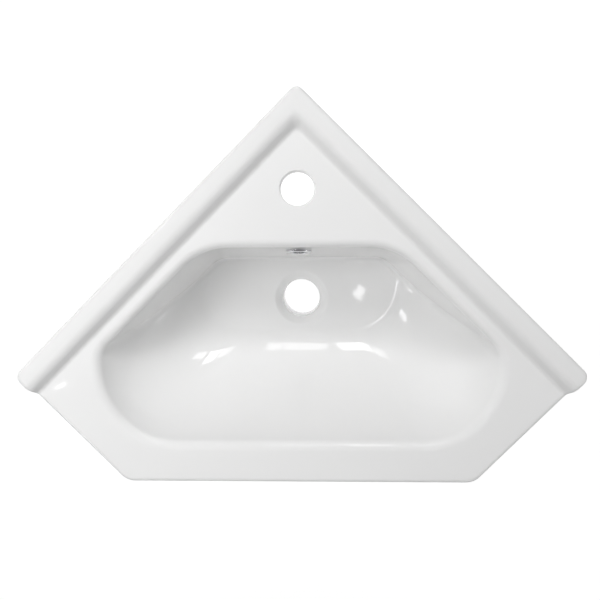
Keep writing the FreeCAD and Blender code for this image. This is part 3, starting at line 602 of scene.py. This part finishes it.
# ---------------------------------------------------------------- overflow duct
# A channel of china, cast by itself and stuck with slip to the back of the bowl before firing. It
# leads from the overflow hole down to the slot in the waste boss. Its glaze is thin and uneven.
duct_glaze, duct_tree, duct_shader = new_material("thin_glaze", (0.8, 0.79, 0.76), 0.25)
duct_tone = duct_tree.nodes.new("ShaderNodeMix")
duct_tone.data_type = "RGBA"
duct_tone.inputs["A"].default_value = (0.76, 0.745, 0.71, 1)
duct_tone.inputs["B"].default_value = (0.83, 0.825, 0.81, 1)
duct_tree.links.new(ramp_of(duct_tree, noise_of(duct_tree, 35, 4).outputs["Fac"], 0, 1),
                    duct_tone.inputs["Factor"])
duct_tree.links.new(duct_tone.outputs["Result"], duct_shader.inputs["Base Color"])
duct_tree.links.new(ramp_of(duct_tree, noise_of(duct_tree, 50, 3).outputs["Fac"], 0.12, 0.45),
                    duct_shader.inputs["Roughness"])
bump_of(duct_tree, duct_shader, noise_of(duct_tree, 90, 4).outputs["Fac"], 0.5, 0.5)
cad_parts["overflow_duct"].material_slots[0].material = duct_glaze

# ---------------------------------------------------------------- fixing collars
# Two turned nylon collars, one in each fixing hole of the flanges, with a flange against the
# china. They keep the wall bolts off the glaze.
nylon, nylon_tree, nylon_shader = new_material("nylon", (0.78, 0.775, 0.74), 0.45)
nylon_tree.links.new(ramp_of(nylon_tree, noise_of(nylon_tree, 260).outputs["Fac"], 0.35, 0.55),
                     nylon_shader.inputs["Roughness"])
bump_of(nylon_tree, nylon_shader, noise_of(nylon_tree, 1100, 3).outputs["Fac"], 0.3, 0.03)
collar_profile = rounded([(5.5, -7), (5.5, -1), (7.8, -1), (7.8, -11), (14, -11), (14, -14),
                          (5.5, -14), (5.5, -7.4)], [0.5, 0.6, 0.3, 0.6, 0.8, 0.6], 6)
for name, side in (("left", -1), ("right", 1)):
    outward = Vector((side * ROOT_HALF, ROOT_HALF, 0))
    hole = Vector((FIXING_ALONG * ROOT_HALF * side, -FIXING_ALONG * ROOT_HALF, FIXING_Z))
    in_hole = Matrix.Translation(hole) @ outward.to_track_quat("Z", "Y").to_matrix().to_4x4()
    collar = new_piece(f"fixing_collar_{name}", [turned_shell(collar_profile, 96, in_hole)], nylon)
    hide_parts(f"fixing_sleeve_{name}")
    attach(collar, "root")

# ---------------------------------------------------------------- room
# A plain floor far below the basin, which hangs on its walls, and a plain background. Both look
# white to the camera and in reflections, where only what is overhead is darker, and both give
# little light of their own.
WHITE = 1.0
CEILING = 0.15  # what polished surfaces show overhead
SOFT_LIGHT = 0.15
FLOOR_GLOW = 0.85  # makes the floor look white over the light that it gets


def seen_directly(tree):
    """1 for camera, glossy and transmission rays, and 0 for the rays that carry soft light."""
    path = tree.nodes.new("ShaderNodeLightPath")
    shares = [path.outputs[f"Is {kind} Ray"] for kind in ("Camera", "Glossy", "Transmission")]
    total = shares[0]
    for share in shares[1:]:
        larger = tree.nodes.new("ShaderNodeMath")
        larger.operation = "MAXIMUM"
        tree.links.new(total, larger.inputs[0])
        tree.links.new(share, larger.inputs[1])
        total = larger.outputs[0]
    return total


floor_mesh = bpy.data.meshes.new("floor")
floor_mesh.from_pydata([(-6, -6, -0.85), (6, -6, -0.85), (6, 6, -0.85), (-6, 6, -0.85)], [],
                       [(0, 1, 2, 3)])
floor = bpy.data.objects.new("floor", floor_mesh)
bpy.context.scene.collection.objects.link(floor)
floor_paint, floor_tree, floor_shader = new_material("floor_paint", (0.4, 0.4, 0.4), 0.9)
floor_shader.inputs["Specular IOR Level"].default_value = 0
floor_shader.inputs["Emission Color"].default_value = (1, 1, 1, 1)
glow = floor_tree.nodes.new("ShaderNodeMath")
glow.operation = "MULTIPLY"
glow.inputs[1].default_value = FLOOR_GLOW
floor_tree.links.new(seen_directly(floor_tree), glow.inputs[0])
floor_tree.links.new(glow.outputs[0], floor_shader.inputs["Emission Strength"])
floor_mesh.materials.append(floor_paint)

world = bpy.data.worlds.new("world")
bpy.context.scene.world = world
world.use_nodes = True
soft_light = world.node_tree.nodes["Background"]
soft_light.inputs["Color"].default_value = (1, 1, 1, 1)
soft_light.inputs["Strength"].default_value = SOFT_LIGHT
background = world.node_tree.nodes.new("ShaderNodeBackground")
background.inputs["Color"].default_value = (1, 1, 1, 1)
background.inputs["Strength"].default_value = WHITE
direction = world.node_tree.nodes.new("ShaderNodeTexCoord")
upward = world.node_tree.nodes.new("ShaderNodeSeparateXYZ")
world.node_tree.links.new(direction.outputs["Generated"], upward.inputs["Vector"])
ceiling = world.node_tree.nodes.new("ShaderNodeMapRange")
for socket, value in (("From Min", 0.2), ("From Max", 0.6), ("To Min", WHITE),
                      ("To Max", CEILING)):
    ceiling.inputs[socket].default_value = value
world.node_tree.links.new(upward.outputs["Z"], ceiling.inputs["Value"])
camera_path = world.node_tree.nodes.new("ShaderNodeLightPath")
brightness = world.node_tree.nodes.new("ShaderNodeMath")
brightness.operation = "MAXIMUM"
world.node_tree.links.new(camera_path.outputs["Is Camera Ray"], brightness.inputs[0])
world.node_tree.links.new(ceiling.outputs["Result"], brightness.inputs[1])
world.node_tree.links.new(brightness.outputs[0], background.inputs["Strength"])
either = world.node_tree.nodes.new("ShaderNodeMixShader")
world.node_tree.links.new(seen_directly(world.node_tree), either.inputs["Fac"])
world.node_tree.links.new(soft_light.outputs[0], either.inputs[1])
world.node_tree.links.new(background.outputs[0], either.inputs[2])
world.node_tree.links.new(either.outputs[0],
                          world.node_tree.nodes["World Output"].inputs["Surface"])


def add_lamp(name, place, target, width, depth, watts):
    """A rectangular lamp at a place, facing a target, in metres."""
    data = bpy.data.lights.new(name, "AREA")
    data.shape = "RECTANGLE"
    data.size = width
    data.size_y = depth
    data.energy = watts
    lamp = bpy.data.objects.new(name, data)
    bpy.context.scene.collection.objects.link(lamp)
    lamp.location = place
    lamp.rotation_euler = (Vector(target) - lamp.location).to_track_quat("-Z", "Y").to_euler()
    return lamp


MIDDLE = (0, -0.22, 0)
SOFT_SIZE = 0.6
# Broad lamps that give the light, and are left out of reflections: elevation, azimuth, distance
# and watts.
SOFT_LAMPS = {"back": (45, 0, 1.6, 7.8), "left": (56, 275, 0.95, 3.9),
              "front_left": (45, 225, 1.4, 2.3), "front_right": (40, 130, 1.6, 2.8),
              "right": (20, 90, 1.6, 2.2), "back_left": (45, 315, 1.4, 1.0)}
WINDOWS_FAR = 1.6
# Small lamps that the glaze shows as highlights: elevation, azimuth, width, height and radiance.
BRIGHT_LAMPS = {"window_mid": (40.5, 358, 0.16, 0.22, 4),
                "window_back": (40.5, 8, 0.2, 0.22, 9),
                "window_back_right": (42, 21, 0.22, 0.12, 5),
                "window_back_left": (40.5, 352.5, 0.06, 0.22, 4),
                "window_left": (57.7, 246, 0.01, 0.03, 9),
                "window_high": (83.7, 118, 0.04, 0.03, 8),
                "window_left_high": (57, 299, 0.14, 0.22, 7),
                "window_side": (43, 265, 0.05, 0.4, 5),
                "window_right": (12, 100, 0.15, 0.15, 4)}


def on_sphere(elevation, azimuth, far):
    """Place that far from the middle of the basin; azimuth is clockwise from the corner."""
    rise, around = math.radians(elevation), math.radians(azimuth)
    return Vector(MIDDLE) + far * Vector((math.cos(rise) * math.sin(around),
                                          math.cos(rise) * math.cos(around), math.sin(rise)))


for name, (elevation, azimuth, far, watts) in SOFT_LAMPS.items():
    lamp = add_lamp(name, on_sphere(elevation, azimuth, far), MIDDLE, SOFT_SIZE, SOFT_SIZE, watts)
    lamp.visible_glossy = False
for name, (elevation, azimuth, width, depth, radiance) in BRIGHT_LAMPS.items():
    add_lamp(name, on_sphere(elevation, azimuth, WINDOWS_FAR), MIDDLE, width, depth,
             radiance * math.pi * width * depth)
bpy.context.scene.view_settings.view_transform = "Standard"
